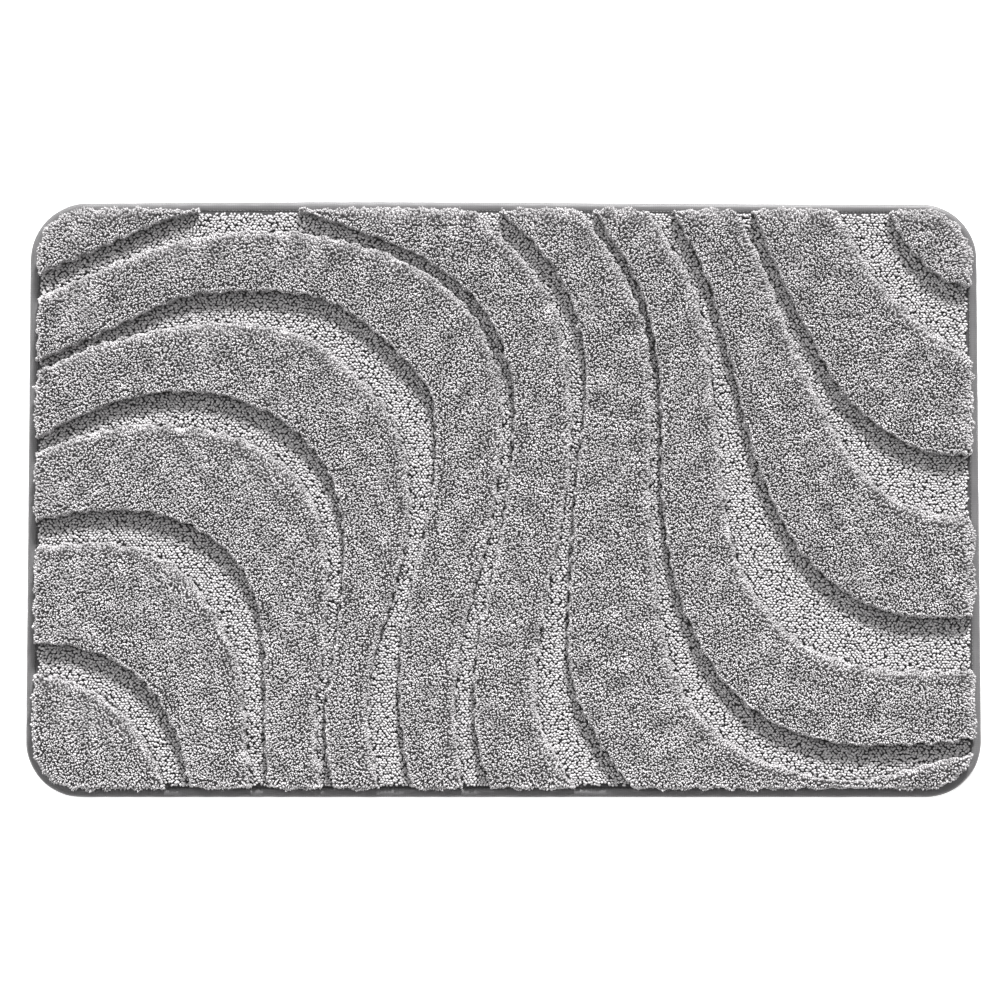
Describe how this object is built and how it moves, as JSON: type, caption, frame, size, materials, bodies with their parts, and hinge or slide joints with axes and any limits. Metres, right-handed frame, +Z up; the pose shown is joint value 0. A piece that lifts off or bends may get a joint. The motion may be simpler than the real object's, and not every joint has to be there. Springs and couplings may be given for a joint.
{
  "type": "bath mat",
  "caption": "Rectangular tufted bath mat with a sculpted wave pattern of high cut pile and low loop pile, a folded edge tape and a non-slip backing.",
  "frame": {"origin": "middle of the underside, on the floor", "axes": "+X along the length, +Y across the width, +Z up through the pile"},
  "size_m": [0.8, 0.5, 0.0207],
  "materials": {
    "cut_pile": "soft cut microfibre pile",
    "loop_pile": "looped microfibre pile",
    "edge_tape": "fine knitted polyester tape",
    "thread": "polyester sewing thread",
    "primary_cloth": "woven polypropylene cloth",
    "latex": "matt latex coat",
    "grip_rubber": "moulded thermoplastic rubber with raised dots"
  },
  "bodies": {
    "root": {"nonslip_backing": "grip_rubber", "latex_coat": "latex", "primary_backing": "primary_cloth", "edge_binding": "edge_tape", "needle_thread": "thread", "bobbin_thread": "thread", "low_groove_01": "loop_pile", "low_groove_02": "loop_pile", "low_groove_03": "loop_pile", "low_groove_04": "loop_pile", "low_groove_05": "loop_pile", "low_groove_06": "loop_pile", "low_groove_07": "loop_pile", "low_groove_08": "loop_pile", "low_groove_09": "loop_pile", "low_groove_10": "loop_pile", "high_band_01": "cut_pile", "high_band_02": "cut_pile", "high_band_03": "cut_pile", "high_band_04": "cut_pile", "high_band_05": "cut_pile", "high_band_06": "cut_pile", "high_band_07": "cut_pile", "high_band_08": "cut_pile", "high_band_09": "cut_pile", "high_band_10": "cut_pile", "high_band_11": "cut_pile", "high_band_12": "cut_pile"}
  },
  "joints": []
}
